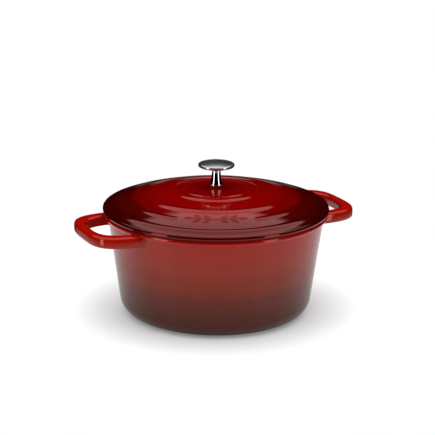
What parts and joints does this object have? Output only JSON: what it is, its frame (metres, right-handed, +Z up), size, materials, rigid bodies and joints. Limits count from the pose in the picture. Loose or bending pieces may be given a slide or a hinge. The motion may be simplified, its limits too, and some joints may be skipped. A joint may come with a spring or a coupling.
{
  "type": "dutch oven",
  "caption": "Round enamelled cast iron dutch oven with looped side handles, a domed lift-off lid and a steel mushroom knob.",
  "frame": {"origin": "centre of the foot ring, on the table", "axes": "+Z up through the knob, +X through the two handles"},
  "size_m": [0.316, 0.25, 0.1698],
  "materials": {
    "cast_iron": "bare casting, shot blasted, ground on the foot ring",
    "red_enamel": "high gloss red enamel shading to dark maroon",
    "black_enamel": "satin black enamel with a fine pebble",
    "polished_steel": "mirror polished stainless steel",
    "plain_steel": "plain stainless steel",
    "gasket_rubber": "black silicone rubber"
  },
  "bodies": {
    "pot": {"pot_casting": "cast_iron", "pot_outer_enamel": "red_enamel", "pot_inner_enamel": "black_enamel", "pot_base_enamel": "black_enamel"},
    "knob": {"knob_cap": "polished_steel", "knob_dish": "polished_steel", "knob_stem": "polished_steel", "knob_insert": "plain_steel", "knob_gasket": "gasket_rubber", "knob_screw": "plain_steel", "flat_washer": "plain_steel", "lock_washer": "plain_steel"},
    "lid": {"lid_casting": "cast_iron", "lid_outer_enamel": "red_enamel", "lid_inner_enamel": "black_enamel"}
  },
  "joints": [
    {"name": "lid_lift", "type": "slide", "parent": "pot", "child": "knob", "axis": [0, 0, 1], "range_m": [0, 0.15]},
    {"name": "lid_turn", "type": "hinge", "parent": "knob", "child": "lid", "pos_m": [0, 0, 0.1408], "axis": [0, 0, 1], "continuous": true}
  ]
}
